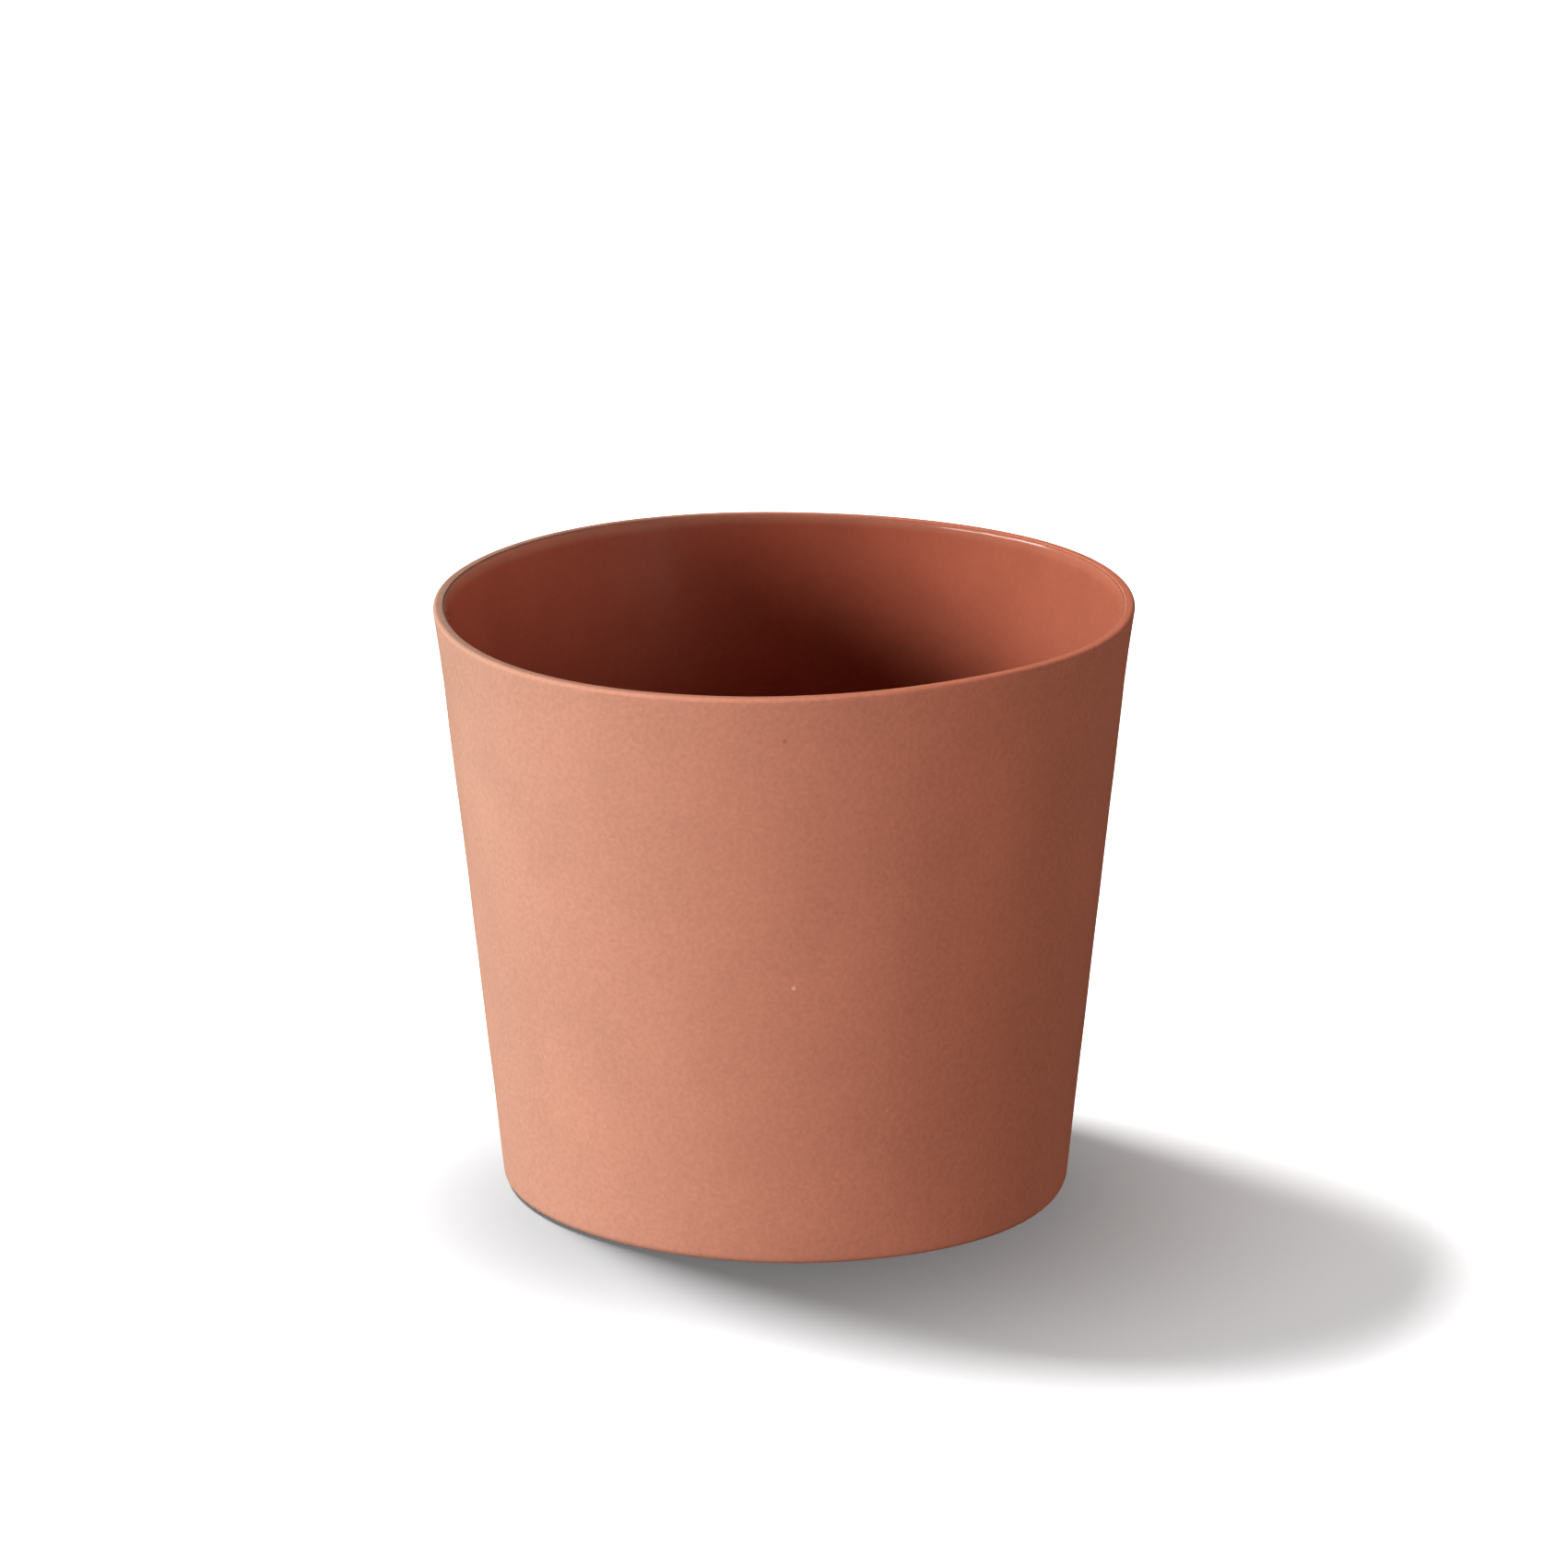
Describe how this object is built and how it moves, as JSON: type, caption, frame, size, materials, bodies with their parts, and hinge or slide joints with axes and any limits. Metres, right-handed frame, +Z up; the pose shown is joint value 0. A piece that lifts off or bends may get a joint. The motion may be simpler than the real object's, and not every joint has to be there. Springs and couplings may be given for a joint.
{
  "type": "handleless cup",
  "caption": "Tapered round drinking cup without a handle, bare clay outside and glazed inside, with a round lip and a foot ring.",
  "frame": {"origin": "middle of the foot ring, on the surface that the cup stands on", "axes": "+Z up along the cup's axis; the cup is round, so X and Y are free, and the picture looks along +Y from in front"},
  "size_m": [0.084, 0.084, 0.0723],
  "materials": {
    "bare_clay": "matt biscuit clay, sponged smooth",
    "clear_glaze": "glossy clear glaze that darkens the clay under it"
  },
  "bodies": {
    "root": {"clay_body": "bare_clay", "inner_glaze": "clear_glaze"}
  },
  "joints": []
}
